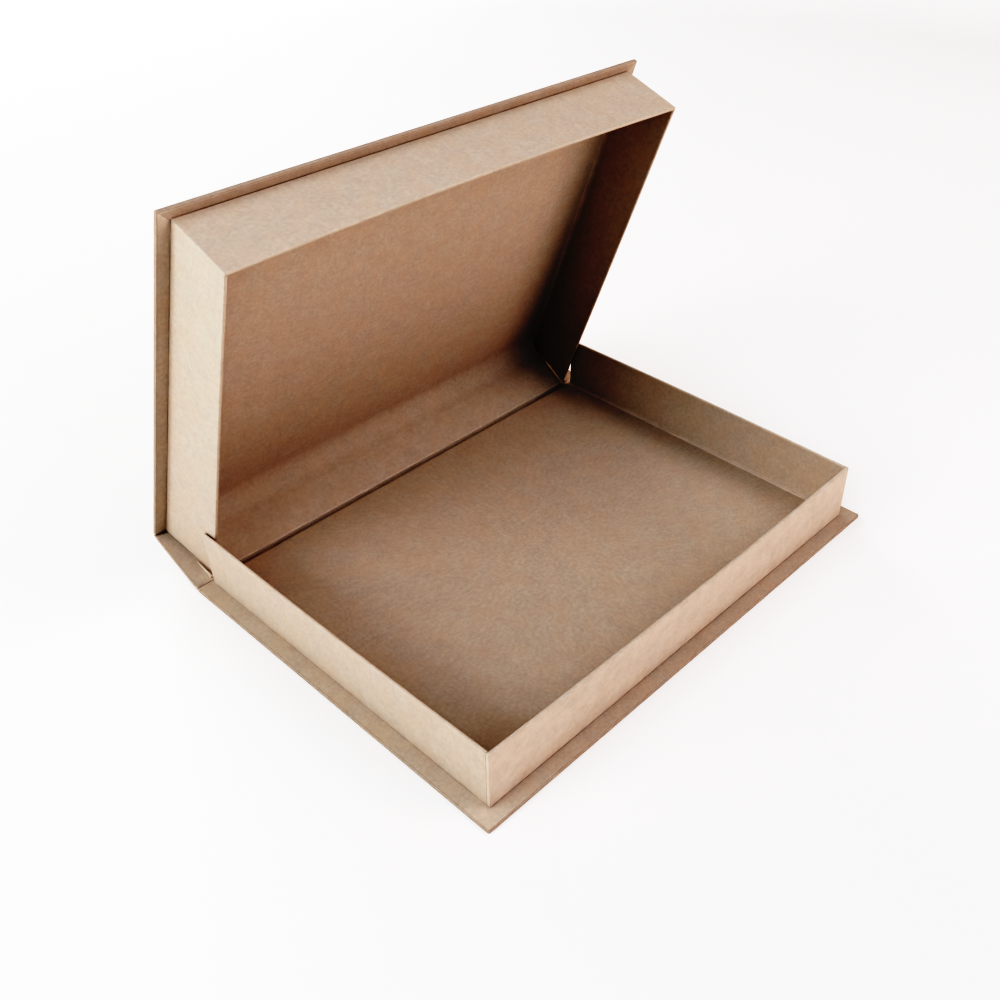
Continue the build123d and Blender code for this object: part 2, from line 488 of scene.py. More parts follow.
def flap_wear_and_painted_light(mitre, inset, height, wear_and_painted_light, end_wear_and_painted_light):
    """The value of wear and painted light at one point of a leaf's band: its turn-in is pale at the
    corners' mitres, and its end flap takes the end value, painted shade on the lid.
    """
    if not on_turn_in(inset, height):
        return wear_and_painted_light
    if mitre == 0:
        return MITRE_WEAR
    return end_wear_and_painted_light if mitre > 0 else 0.0


def make_edge_leaf_cover(leaf, end_wear_and_painted_light):
    """The cover paper of the base or lid leaf, turned in over three edges.

    end_wear_and_painted_light is the painted shade of the flap along its end, none on the base.
    """
    start = leaf.limits(f"{leaf.body}_board")[0][1] - PAPER
    end = leaf.limits(f"{leaf.body}_cover_paper")[1][1]
    rows, wears_and_painted_light = [], []
    for inset, height, wear_and_painted_light in edge_section():
        points = leaf_edge_points(start, end, inset)
        rows.append([(x, y, height + crease(mitre, inset, height)) for x, y, mitre in points])
        wears_and_painted_light.append([flap_wear_and_painted_light(mitre, inset, height, wear_and_painted_light, end_wear_and_painted_light) for _, _, mitre in points])
    surfaces = Surfaces()
    middle = (0, (start + end) / 2, 0)
    grid = np.transpose(np.array(rows), (1, 0, 2))
    surfaces.add(grid, middle, np.array(wears_and_painted_light).T, cap=True)
    add_paper(f"{leaf.body}_cover", leaf, surfaces, [f"{leaf.body}_cover_paper"])


def make_spine_cover():
    """The cover paper of the spine leaf, turned in over its two ends."""
    low, high = spine.limits("spine_board")
    half_section = [(inset - CASE_HALF, height, wear_and_painted_light) for inset, height, wear_and_painted_light in edge_section()]
    section = half_section[::-1] + [(-x, height, wear_and_painted_light) for x, height, wear_and_painted_light in half_section]
    columns = spaced(low[1] - PAPER, high[1] + PAPER, COLUMN_STEP)
    points = [[(x, y, height) for x, height, _ in section] for y in columns]
    surfaces = Surfaces()
    surfaces.add(points, (0, (low[1] + high[1]) / 2, 0), [wear_and_painted_light for _, _, wear_and_painted_light in section])
    add_paper("spine_cover", spine, surfaces, ["spine_cover_paper"])


def make_hinge_lining(leaf, node):
    """The lining sheet on a leaf, between the turn-ins and under the tray."""
    low, high = leaf.limits(node)
    board = leaf.limits(f"{leaf.body}_board")
    start = board[0][1] - PAPER
    end = min(high[1], board[1][1] + PAPER)
    points = [[(x, y, FACE) for x in spaced(low[0], high[0], COLUMN_STEP)] for y in (start, end)]
    surfaces = Surfaces()
    surfaces.add(points, (0, (start + end) / 2, 0))
    add_paper(f"{leaf.body}_lining_sheet", leaf, surfaces, [node])


# ---- Folds of the case ----

CHANNEL_DEPTH = 0.5 * MM  # dip of the outer paper between two boards
FLANGE_VALLEY = 0.6 * MM  # dip of the turn-in between two boards
LINING_VALLEY = 1.6 * MM  # dip of the lining between two boards
CREASE_WIDTH = 0.05  # of the fold's width
# painted shade along a fold's crease
CREASE_PAINTED_SHADE = 0.5
CREASE_SHARE = 0.75  # of a valley's depth
PLATEAU_EDGE = 0.35  # of the fold's width, on each side
FOLD_STEPS = 40
WEB_END_SHARE = 0.6  # of its thickness, at the start of a web's rounded end
WEB_END_STEPS = 4
WEB_EDGE = MM  # from a web's rounded end to its next column
WEB_STEP = 4 * MM  # between the columns of the turn-in
WEB_LINING_GAP = 0.3 * MM  # from the turn-in's last column to the lining


def plateau(u):
    """0 at both ends, 1 along the middle."""
    edge = np.clip(np.minimum(u, 1 - u) / PLATEAU_EDGE, 0, 1)
    return edge * edge * (3 - 2 * edge)


def crease_share(u):
    """1 on the line of the fold, and 0 a little beside it."""
    return np.exp(-(((u - 0.5) / CREASE_WIDTH) ** 2))


def valley(u):
    """0 at both ends, with a crease in the middle."""
    broad = np.sin(math.pi * u) ** 2
    return (1 - CREASE_SHARE) * broad + CREASE_SHARE * crease_share(u)


def bend_fold(points, reach, turn):
    """Flat points near a fold axis, bent round it as the second leaf turns."""
    share = np.clip((points[..., 1] + reach) / (2 * reach), 0, 1)
    angle = turn * share * share * (3 - 2 * share)
    y, z = points[..., 1].copy(), points[..., 2].copy()
    bent = points.copy()
    bent[..., 1] = y * np.cos(angle) - z * np.sin(angle)
    bent[..., 2] = y * np.sin(angle) + z * np.cos(angle)
    return bent


def web_columns(turned, lining):
    """(x, inner side, share of the thickness) across a web, with its ends rounded off."""
    columns = [(-CASE_HALF, turned, 0.0)]
    for angle in np.linspace(0, math.pi / 2, WEB_END_STEPS + 1):
        share = WEB_END_SHARE + (1 - WEB_END_SHARE) * math.sin(angle)
        columns.append((-CASE_HALF + EDGE_RADIUS * (1 - math.cos(angle)), turned, share))
    start = EDGE_RADIUS - CASE_HALF + WEB_EDGE
    flange = spaced(start, -LINING_HALF - WEB_LINING_GAP, WEB_STEP)
    columns += [(x, turned, 1) for x in flange]
    columns += [(x, lining, 1) for x in spaced(-LINING_HALF, 0, COLUMN_STEP)]
    return columns + [(-x, inner, share) for x, inner, share in columns[:-1][::-1]]


def web_grid(reach, u):
    """The flat web of a fold: closed rings round its two sides, one for each column."""
    y = reach * (2 * u - 1)
    outer = -FACE + CHANNEL_DEPTH * plateau(u)
    lining = FACE - LINING_VALLEY * plateau(u)
    turned = FACE - FLANGE_VALLEY * valley(u)
    grid = []
    for x, inner, share in web_columns(turned, lining):
        middle = (outer + inner) / 2
        low = middle + (outer - middle) * share
        high = middle + (inner - middle) * share
        ring = [(x, *point) for point in [*zip(y, low), *zip(y[::-1], high[::-1])]]
        grid.append(ring + ring[:1])
    return np.array(grid)


def make_fold(name, first, fold, reach, turn):
    """The paper web between two boards, bent round their fold by a given turn."""
    flat = Leaf(first.body, fold, *risen(0 if first is base else spine_rise))
    u = np.linspace(0, 1, FOLD_STEPS + 1)
    # painted shade along the crease of the turn-in
    painted_shade = np.concatenate([0 * u, -CREASE_PAINTED_SHADE * crease_share(u)[::-1], [0]])
    surfaces = Surfaces()
    surfaces.add(bend_fold(web_grid(reach, u), reach, turn), (0, 0, 0), painted_shade)
    piece = add_piece(name, surfaces.mesh(name, flat), kraft[first.body])
    stop = flat.place(bend_fold(np.array([[0, reach, 0]]), reach, turn)[0])
    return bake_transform(piece)


# ---- Trays ----

RIM_RADIUS = 0.6 * MM
WALL_END_RADIUS = 0.5 * MM
WALL_CORNER_RADIUS = 0.7 * MM
WALL_END_STEPS = 4
OPEN_END_WEAR_AND_PAINTED_LIGHT = 0.8  # of a side wall's open end: scuffs, and painted light that makes it paler
SEAM_RETURN = 1.9 * MM  # end wrap turned round the corner onto the side wall
SEAM_STEP = 0.12 * MM
SEAM_PAINTED_SHADE_WIDTH = 0.25 * MM  # width of the painted shade beside the seam
COVE_RADIUS = 1.1 * MM  # wall paper turned onto the floor
COVE_FOOT = 3 * MM
COVE_WEAR = 0.4
FOOT_RADIUS = 0.5 * MM  # wall paper rounded under at the case
FOOT_PAINTED_SHADE = -1  # painted shade on the rounded foot, where the wall meets the case
FOOT_TOP_PAINTED_SHADE = -0.3  # painted shade where the foot meets the wall
WALL_STEP = 5 * MM  # along a wall
WALL_ROW_STEP = 6 * MM  # up a wall
LIP_RADIUS = 0.4 * MM
LIP_LIFT = 0.1 * MM  # of a floor lining's lip, above the leaf
LINING_SKIN = 0.5 * PAPER
CURL = 0.4 * MM  # rise of the lining's cut edge
CURL_WIDTH = MM
CURL_INSETS = (1.5 * MM, 0.9 * MM, 0.5 * MM, 0)  # of the last columns before the edge
CUT_EDGE_WIDTH = 0.6 * MM
BOARD_INSET = 0.3 * MM
BOARD_CUTS = 11  # of a board's long edges, for it to bow
LONG_EDGE = 3 * COLUMN_STEP
STAY_INSET = 0.06 * MM


class Tray:
    """Sizes of a tray, read from its CAD nodes, and how its walls bow and lean.

    bows are the most that each wall bows outwards, and pinches how far each side wall leans
    inwards at its open end. seam_painted_shade is the painted shade on a side wall beside the end
    wrap's seam, and end_wear_and_painted_light the scuffs and painted light on the end wall's outer
    face. lining_gap is left round the floor lining.
    """

    def __init__(self, leaf, name, bows, pinches, seam_painted_shade, end_wear_and_painted_light, lining_gap):
        self.leaf = leaf
        self.name = name
        low, high = leaf.limits(f"{name}_wrap")
        self.half, self.open, self.end = high[0], low[1], high[1]
        self.foot, self.rim = low[2], high[2]
        board = leaf.limits(f"{name}_left_wall")
        self.thickness = board[1][0] - board[0][0] + 2 * PAPER
        lining_low, lining_high = leaf.limits(f"{name}_floor_lining")
        self.floor_open = lining_low[1]
        self.floor = lining_high[2] - PAPER
        self.bows = bows
        self.pinches = pinches
        self.seam_painted_shade = seam_painted_shade
        self.end_wear_and_painted_light = end_wear_and_painted_light
        self.lining_gap = lining_gap

    def height_share(self, z):
        """0 at a wall's foot, 1 at its rim."""
        return np.clip((z - self.foot) / (self.rim - self.foot), 0, 1)

    def shape_side(self, points, side):
        """Bows a side wall outwards and leans its open end inwards, most at the rim."""
        points = np.array(points, float)
        t = np.clip((points[..., 1] - self.open) / (self.end - self.open), 0, 1)
        outward = self.bows[side] * 4 * t * (1 - t) - self.pinches[side] * (1 - t)
        points[..., 0] += SIGN[side] * outward * self.height_share(points[..., 2])
        return points

    def shape_end(self, points):
        """Bows the end wall outwards, most at the rim."""
        points = np.array(points, float)
        across = 1 - np.clip(np.abs(points[..., 0]) / self.half, 0, 1) ** 2
        points[..., 1] += self.bows["end"] * across * self.height_share(points[..., 2])
        return points


def wall_section(tray, inset):
    """(depth, height, wear and painted light) over a wall, a little inside it: outer face, rim and
    inner face, with painted shade at the foot.
    """
    near, far = inset, tray.thickness - inset
    top = tray.rim - inset
    radius = RIM_RADIUS
    foot = tray.foot + FOOT_RADIUS
    # painted shade at the wall's foot
    outer = [(near + FOOT_RADIUS, tray.foot, FOOT_PAINTED_SHADE)]
    outer += [(near + 0.3 * FOOT_RADIUS, foot - 0.7 * FOOT_RADIUS, FOOT_PAINTED_SHADE)]
    outer += [(near, foot, FOOT_TOP_PAINTED_SHADE), (near, foot + FOOT_RADIUS, 0)]
    outer += [(near, z, 0) for z in spaced(foot + 2 * FOOT_RADIUS, top - 2 * radius, WALL_ROW_STEP)]
    inner = [(far, z, 0) for z in spaced(top - 2 * radius, tray.floor, WALL_ROW_STEP)]
    over = [(near, top - 1.3 * radius, FAINT_WEAR)]
    over += [(x, y, EDGE_WEAR) for x, y in arc((near + radius, top - radius), radius, 180, 90)]
    over += [(x, y, EDGE_WEAR) for x, y in arc((far - radius, top - radius), radius, 90, 0)]
    over += [(far, top - 1.3 * radius, FAINT_WEAR)]
    return outer + over + inner


def cove_section(tray):
    """(depth, height, wear) of the wall paper where it turns onto the floor."""
    face = tray.thickness - SEAM_STEP / 2
    radius = COVE_RADIUS
    rows = [(face, tray.floor + 2 * radius, 0)]
    arc_points = arc((face + radius, tray.floor + radius), radius, 180, 270)
    rows += [(x, y, COVE_WEAR) for x, y in arc_points]
    return rows + [(face + COVE_FOOT, tray.floor, 0)]


def side_wall_columns(tray):
    """(y, half thickness share, rim drop) from the rounded open end to under the corner seam."""
    radius = WALL_END_RADIUS
    half = tray.thickness / 2
    columns = [(tray.open, 0.0, radius)]
    for angle in np.linspace(0, math.pi / 2, WALL_END_STEPS + 1):
        drop = radius * (1 - math.sin(angle))
        columns.append((tray.open + radius * (1 - math.cos(angle)), 1 - drop / half, drop))
    seam = tray.end - SEAM_RETURN
    columns += [(y, 1.0, 0.0) for y in spaced(tray.open + 2 * radius, seam - 2 * SEAM_PAINTED_SHADE_WIDTH, WALL_STEP)]
    columns += [(y, 1.0, 0.0) for y in (seam - SEAM_PAINTED_SHADE_WIDTH, seam, tray.end - SEAM_RETURN / 2)]
    return columns


def side_wall_grid(tray, side):
    """The points of a side wall's paper, straight and upright, with their wear and painted light:
    painted shade beside the seam, and painted light on the open end.
    """
    section = wall_section(tray, SEAM_STEP)
    half = tray.thickness / 2
    grid, wears_and_painted_light = [], []
    for y, share, drop in side_wall_columns(tray):
        column = []
        for depth, height, _ in section:
            from_outside = half + (depth - half) * share
            x = SIGN[side] * (tray.half - from_outside)
            column.append((x, y, min(height, tray.rim - SEAM_STEP - drop)))
        grid.append(column)
        # painted shade beside the seam
        if y > tray.end - SEAM_RETURN - 1.1 * SEAM_PAINTED_SHADE_WIDTH:
            wears_and_painted_light.append([tray.seam_painted_shade] * len(section))
        else:  # with no shade at its foot
            # scuffs, and painted light on the open end
            least = OPEN_END_WEAR_AND_PAINTED_LIGHT if drop > 0 else 0
            wears_and_painted_light.append([max(wear_and_painted_light, least) for _, _, wear_and_painted_light in section])
    return grid, wears_and_painted_light


def make_side_wrap(tray, side):
    """The paper over one side wall, and its foot turned onto the floor."""
    grid, wears_and_painted_light = side_wall_grid(tray, side)
    middle_x = SIGN[side] * (tray.half - tray.thickness / 2)
    middle_y = (tray.open + tray.end) / 2
    surfaces = Surfaces()
    hidden = (middle_x, middle_y, (tray.foot + tray.rim) / 2)
    surfaces.add(tray.shape_side(grid, side), hidden, wears_and_painted_light)
    section = cove_section(tray)
    cove = []
    for y in spaced(tray.open, tray.end - tray.thickness, WALL_STEP):
        cove.append([(SIGN[side] * (tray.half - depth), y, z) for depth, z, _ in section])
    hidden = (middle_x, middle_y, tray.foot)
    surfaces.add(tray.shape_side(cove, side), hidden, [wear_and_painted_light for _, _, wear_and_painted_light in section])
    name = f"{tray.name}_{side}_wrap"
    return add_paper(name, tray.leaf, surfaces, [f"{tray.name}_wrap"])


def end_wall_columns(tray):
    """(outer point, inner point) along the end wall, from seam to seam round its corners."""
    radius = WALL_CORNER_RADIUS
    inner_x, inner_y = tray.half - tray.thickness, tray.end - tray.thickness
    outer = [(-tray.half, tray.end - SEAM_RETURN), (-tray.half, tray.end - 1.3 * radius)]
    outer += arc((-tray.half + radius, tray.end - radius), radius, 180, 90)
    start = -tray.half + 1.3 * radius
    outer += [(x, tray.end) for x in spaced(start, -inner_x, MM)]
    outer += [(x, tray.end) for x in spaced(-inner_x, 0, WALL_STEP)[1:]]
    outer += [(-x, y) for x, y in outer[:-1][::-1]]
    columns = []
    for x, y in outer:
        columns.append(((x, y), (float(np.clip(x, -inner_x, inner_x)), inner_y)))
    return columns


def end_wall_grid(tray):
    """The points of the end wall's paper, straight and upright, with their wear and painted light:
    painted shade at its foot, and scuffs and painted light on its outer face.
    """
    section = wall_section(tray, 0)
    grid, wears_and_painted_light = [], []
    for (x, y), (inner_x, inner_y) in end_wall_columns(tray):
        column = []
        for depth, height, _ in section:
            share = depth / tray.thickness
            column.append((x + share * (inner_x - x), y + share * (inner_y - y), height))
        grid.append(column)
        at_side = abs(abs(x) - tray.half) < 1.2 * WALL_CORNER_RADIUS
        corner = EDGE_WEAR if at_side and y > tray.end - SEAM_RETURN else 0
        # scuffs, and painted light on the outer face
        outside = max(tray.end_wear_and_painted_light, corner)
        wears_and_painted_light.append([
            wear_and_painted_light if wear_and_painted_light < 0 else max(wear_and_painted_light, outside if depth == 0 else 0) for depth, _, wear_and_painted_light in section
        ])
    return grid, wears_and_painted_light


def make_end_wrap(tray, end_wall):
    """The paper over the end wall, turned round both corners onto the side walls."""
    grid, wears_and_painted_light = end_wall_grid(tray)
    middle_y = tray.end - tray.thickness / 2
    surfaces = Surfaces()
    surfaces.add(tray.shape_end(grid), (0, middle_y, (tray.foot + tray.rim) / 2), wears_and_painted_light)
    section = cove_section(tray)
    inner_half = tray.half - tray.thickness
    cove = []
    for x in spaced(-inner_half, inner_half, WALL_STEP):
        cove.append([(x, tray.end - depth, z) for depth, z, _ in section])
    hidden = (0, middle_y, tray.foot)
    surfaces.add(tray.shape_end(cove), hidden, [wear_and_painted_light for _, _, wear_and_painted_light in section])
    name = f"{tray.name}_{end_wall}_wrap"
    return add_paper(name, tray.leaf, surfaces, [f"{tray.name}_wrap"])


def lining_profile(tray, last):
    """(y, height) of a floor lining: up its folded lip, and along the floor to its last edge."""
    lip, top = tray.floor_open, tray.floor + PAPER
    radius = LIP_RADIUS
    profile = [(lip, FACE + LIP_LIFT), (lip, top - 1.5 * radius)]
    profile += arc((lip + radius, top - radius), radius, 180, 90)
    flat = spaced(lip + 2 * radius, last - 2 * CURL, COLUMN_STEP)
    return profile + [(y, top) for y in [*flat, last]]


def make_floor_lining(tray):
    """The lining sheet on a tray's floor, folded down over the floor's open end."""
    half = tray.half - tray.thickness - tray.lining_gap
    last = tray.end - tray.thickness - tray.lining_gap
    top = tray.floor + PAPER
    across = [*spaced(0, half - CURL_INSETS[0], COLUMN_STEP)]
    across += [half - inset for inset in CURL_INSETS[1:]]
    across = [-x for x in across[::-1]] + across[1:]
    grid, wears_and_painted_light = [], []
    for y, z in lining_profile(tray, last):
        edges = [min(half - abs(x), last - y) for x in across]
        rises = [CURL * max(0.0, 1 - edge / CURL_WIDTH) ** 2 * (z == top) for edge in edges]
        grid.append([(x, y, z + rise) for x, rise in zip(across, rises)])
        # the cut edge: pale raw paper, with a painted highlight
        wears_and_painted_light.append([CUT_EDGE_PALE_AND_HIGHLIGHT * (edge < CUT_EDGE_WIDTH) for edge in edges])
    surfaces = Surfaces()
    surfaces.add(grid, (0, (tray.floor_open + last) / 2, tray.foot), wears_and_painted_light)
    name = f"{tray.name}_floor_sheet"
    add_paper(name, tray.leaf, surfaces, [f"{tray.name}_floor_lining"], LINING_SKIN)


def carry(node, leaf, shape, slot="greyboard", inset=BOARD_INSET):
    """A hidden board or stay drawn a little inside its CAD node, and shaped like what covers it."""
    mesh = frame["nodes"][node].data.copy()
    whole = bmesh.new()
    whole.from_mesh(mesh)
    long_edges = [edge for edge in whole.edges if edge.calc_length() > LONG_EDGE]
    bmesh.ops.subdivide_edges(whole, edges=long_edges, cuts=BOARD_CUTS, use_grid_fill=True)
    own = (np.array([vertex.co for vertex in whole.verts]) - leaf.origin) @ leaf.axes.T
    low, high = leaf.limits(node)
    own = np.clip(own, low + inset, high - inset)
    for vertex, place in zip(whole.verts, leaf.place(shape(own))):
        vertex.co = place
    whole.to_mesh(mesh)
    whole.free()
    mesh.materials.clear()
    material = greyboard if slot == "greyboard" else kraft[leaf.body]
    piece = add_piece(f"{node}_bowed", mesh, material, [node])
    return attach(piece, leaf.body)


def straighten(piece):
    """Gives a piece a mesh of its own."""
    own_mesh(piece)


def make_tray(tray, end_wall):
    """All of a tray's pieces but the floor board. Returns the two of its end wall."""
    for side in ("left", "right"):
        straighten(make_side_wrap(tray, side))
        wall = carry(f"{tray.name}_{side}_wall", tray.leaf, lambda p, s=side: tray.shape_side(p, s))
        straighten(wall)
        stay = f"{tray.name}_{side}_corner_stay"
        carry(stay, tray.leaf, lambda p, s=side: tray.shape_side(p, s), "stay_tape", STAY_INSET)
    end_wrap = make_end_wrap(tray, end_wall)
    end_board = carry(f"{tray.name}_{end_wall}_wall", tray.leaf, tray.shape_end)
    make_floor_lining(tray)
    return end_wrap, end_board


base_tray = Tray(
    base,
    "base_tray",
    bows={"left": 1.0 * MM, "right": 1.2 * MM, "end": 1.5 * MM},
    pinches={"left": -1.0 * MM, "right": -0.5 * MM},
    # painted shade beside the seams
    seam_painted_shade=-0.6,
    # scuffs, and painted light that makes the front wall's outer face paler
    end_wear_and_painted_light=0.75,
    lining_gap=1.0 * MM,
)
lid_tray = Tray(
    lid,
    "lid_tray",
    bows={"left": 0.8 * MM, "right": 0.8 * MM, "end": 3.2 * MM},
    pinches={"left": 5.7 * MM, "right": 7.0 * MM},
    seam_painted_shade=0.0,
    end_wear_and_painted_light=0.0,
    lining_gap=2.4 * MM,
)


# ---- Spine stiffener ----

LID_FOLD_Y = ((lid.origin - spine.origin) @ spine.axes.T)[1]  # in the spine's frame
STIFFENER_RADIUS = 1.1 * MM
STIFFENER_CORNER = 0.4 * MM  # in plan
STIFFENER_WEAR_AND_PAINTED_LIGHT = 1.5  # of its sides: scuffs, and painted light that makes them pale
STIFFENER_TRIM = {"left": 0.7 * MM, "right": 0.0}
NOTCH_START = 14.5 * MM  # from the base fold to where its ends are cut back
NOTCH_SLOPE = 4 * MM
STIFFENER_GAP = 0.25 * MM  # of its clearance to the lid tray's walls, taken up as they lean in
SIDE_STEPS = 36
SIDE_MIDDLE = (0.03, 0.97)  # of a long side, between its fine ends
SIDE_END_SHARES = np.arange(0.0015, 0.028, 0.0016)  # along each fine end
DENT_INSET = 8.5 * MM  # from the stiffener's edge to the inside of its dents
DENT_STEP = 0.5 * MM
DENT_GAP = 0.3 * MM  # beside a wall's end, outside the tray
INNER_DENT_GAP = 0.9 * MM
DENT_SLOPE = 0.4 * MM
DENT_SHARE = 0.92  # of the stiffener's height


def slab_rows(low, high, radius):
    """(inset, height, wear and painted light) up the stiffener's side, which is scuffed and painted
    pale as light on it, and over its edge to inside its dents.
    """
    # scuffs and painted light on the side
    rows = [(0, low, STIFFENER_WEAR_AND_PAINTED_LIGHT), (0, high - 1.5 * radius, STIFFENER_WEAR_AND_PAINTED_LIGHT)]
    rows += [(x, y, EDGE_WEAR) for x, y in arc((radius, high - radius), radius, 180, 90)]
    rows += [(1.5 * radius, high, FAINT_WEAR)]
    rows += [(inset, high, 0) for inset in spaced(2 * radius, DENT_INSET, DENT_STEP)]
    return rows


def side_shares(long):
    """Steps from 0 to 1 along one side of the stiffener, fine near the ends of a long side."""
    if not long:
        return np.linspace(0, 1, SIDE_STEPS)[1:-1]
    middle = np.linspace(*SIDE_MIDDLE, SIDE_STEPS)
    return np.array([*SIDE_END_SHARES, *middle, *(1 - SIDE_END_SHARES[::-1])])


def rectangle_points(low, high, inset, radius):
    """A closed row of points round a rectangle, with rounded corners."""
    radius = max(radius - inset, SMALLEST_RADIUS)
    right, back = high[0] - inset - radius, high[1] - inset - radius
    left, front = low[0] + inset + radius, low[1] + inset + radius
    centres = ((left, front), (right, front), (right, back), (left, back))
    corners = [arc(centre, radius, 180 + 90 * i, 270 + 90 * i, 3) for i, centre in enumerate(centres)]
    points = []
    for i, corner in enumerate(corners):
        points += corner
        (x, y), (next_x, next_y) = corner[-1], corners[(i + 1) % 4][0]
        for share in side_shares(i % 2 == 0):
            points.append((x + share * (next_x - x), y + share * (next_y - y)))
    return points + points[:1]


def cut_stiffener(points, start=-NOTCH_SLOPE):
    """Cuts the stiffener's ends back beside the lid tray's leaning walls.

    start is where the cut sets in, from the base fold; unless it is given, all of the ends are cut.
    """
    points = np.array(points, float)
    lean = lid_tray.height_share(LID_FOLD_Y - points[..., 1])
    cut = np.clip((points[..., 1] - start) / NOTCH_SLOPE, 0, 1)
    for side, sign in SIGN.items():
        room = np.maximum(cut * (lid_tray.pinches[side] * lean - STIFFENER_GAP), STIFFENER_TRIM[side])
        share = np.clip(sign * points[..., 0] / lid_tray.half, 0, 1)
        points[..., 0] -= sign * room * share
    return points


def dent_stiffener(points, low):
    """Presses the stiffener's paper down towards a height under the ends of the lid tray's walls.

    They come down on its front corners when the lid turns past the angle where it stands. The
    ends of its front part, up to NOTCH_START, stay up outside the walls.
    """
    points = np.array(points, float)
    lean = lid_tray.height_share(LID_FOLD_Y - points[..., 1])
    behind = points[..., 1] > NOTCH_START
    for side, sign in SIGN.items():
        wall = lid_tray.half - lid_tray.pinches[side] * lean - lid_tray.thickness / 2
        outward = sign * points[..., 0] - wall
        beside = np.abs(np.where(behind, np.minimum(outward, 0), outward))
        beside = beside - lid_tray.thickness / 2 - np.where(outward > 0, DENT_GAP, INNER_DENT_GAP)
        dent = DENT_SHARE * np.clip(1 - beside / DENT_SLOPE, 0, 1)
        points[..., 2] -= dent * (points[..., 2] - low)
    return points


def make_stiffener():
    """The spine's stiffener: its board, and the paper over it."""
    low, high = spine.limits("spine_stiffener_wrap")
    rows = slab_rows(low[2], high[2], STIFFENER_RADIUS)[::-1]
    grid = []
    for inset, height, _ in rows:
        row = rectangle_points(low, high, inset, STIFFENER_CORNER)
        grid.append([(x, y, height) for x, y in row])
    grid = cut_stiffener(np.transpose(np.array(grid), (1, 0, 2)), NOTCH_START)
    surfaces = Surfaces()
    wears_and_painted_light = [wear_and_painted_light for _, _, wear_and_painted_light in rows]
    surfaces.add(dent_stiffener(grid, low[2]), (low + high) / 2, wears_and_painted_light, cap=True)
    add_paper("spine_stiffener_paper", spine, surfaces, ["spine_stiffener_wrap"])
    carry("spine_stiffener", spine, cut_stiffener)


# ---- Curved lining of the lid fold ----

FILLET_RADIUS = 13 * MM
FILLET_STEPS = 12
FILLET_HALF = 150.8 * MM  # clear of the base tray's side walls when the box is closed
FILLET_LAP = 5 * MM  # of the sheet along the spine and along the lid tray's floor
# painted shade in the middle of the curve, against the light band it catches
FILLET_PAINTED_SHADE = -0.09
LAP_LIFT = 0.05 * MM


def make_lid_fold_lining():
    """The lining that runs in a soft curve from the spine's stiffener onto the lid tray's floor."""
    flat = Leaf("spine", "lid_fold", *risen(spine_rise))
    top = spine.limits("spine_stiffener_wrap")[1][2] + LAP_LIFT
    floor = lid.limits("lid_tray_floor_lining")[1][2] + LAP_LIFT
    inward = np.array((math.cos(lid_turn), math.sin(lid_turn)))
    across = np.array((-math.sin(lid_turn), math.cos(lid_turn)))
    reach = (top - floor * across[1] + FILLET_RADIUS * (1 - across[1])) / inward[1]
    on_floor = floor * across + reach * inward
    centre = on_floor + FILLET_RADIUS * across
    end_angle = math.degrees(lid_turn) - 90
    curve = [(centre[0] - FILLET_LAP, top), (centre[0] - FILLET_LAP / 2, top)]
    curve += arc(centre, FILLET_RADIUS, 270, 360 + end_angle, FILLET_STEPS)
    curve += [tuple(on_floor + FILLET_LAP * share * inward) for share in (0.5, 1)]
    points = [[(x, y, z) for y, z in curve] for x in spaced(-FILLET_HALF, FILLET_HALF, COLUMN_STEP)]
    # painted shade, most in the middle of the curve
    painted_shade = FILLET_PAINTED_SHADE * np.sin(np.linspace(0, math.pi, len(curve)))
    surfaces = Surfaces()
    surfaces.add(points, (0, 0, 0), painted_shade)
    name = "lid_fold_lining"
    sheet = add_piece(name, surfaces.mesh(name, flat), kraft["spine"])
    thicken(sheet, SKIN)
    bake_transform(sheet)


# ---- The box's pieces ----

make_edge_leaf_cover(base, 0.0)
# painted shade on the lid's end flap
make_edge_leaf_cover(lid, LID_FLANGE_PAINTED_SHADE)
make_spine_cover()
make_hinge_lining(base, "base_hinge_lining")
make_hinge_lining(spine, "spine_lining")
make_hinge_lining(lid, "lid_hinge_lining")
base_reach = base.limits("base_board")[0][1] - PAPER
lid_reach = lid.limits("lid_board")[0][1] - PAPER
make_fold("base_fold_web", base, "base_fold", base_reach, spine_rise)
make_fold("lid_fold_web", spine, "lid_fold", lid_reach, lid_turn)
make_stiffener()
for piece in make_tray(base_tray, "front"):
    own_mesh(piece)
make_tray(lid_tray, "end")
make_lid_fold_lining()
for leaf in (base, spine, lid):
    carry(f"{leaf.body}_board", leaf, lambda points: points)

# The trays' floor boards stay as CAD nodes.
for node in frame["nodes"].values():
    if not node.hide_render:
        node.data.materials.clear()
        node.data.materials.append(greyboard)


# ---- Floor, light and camera ----

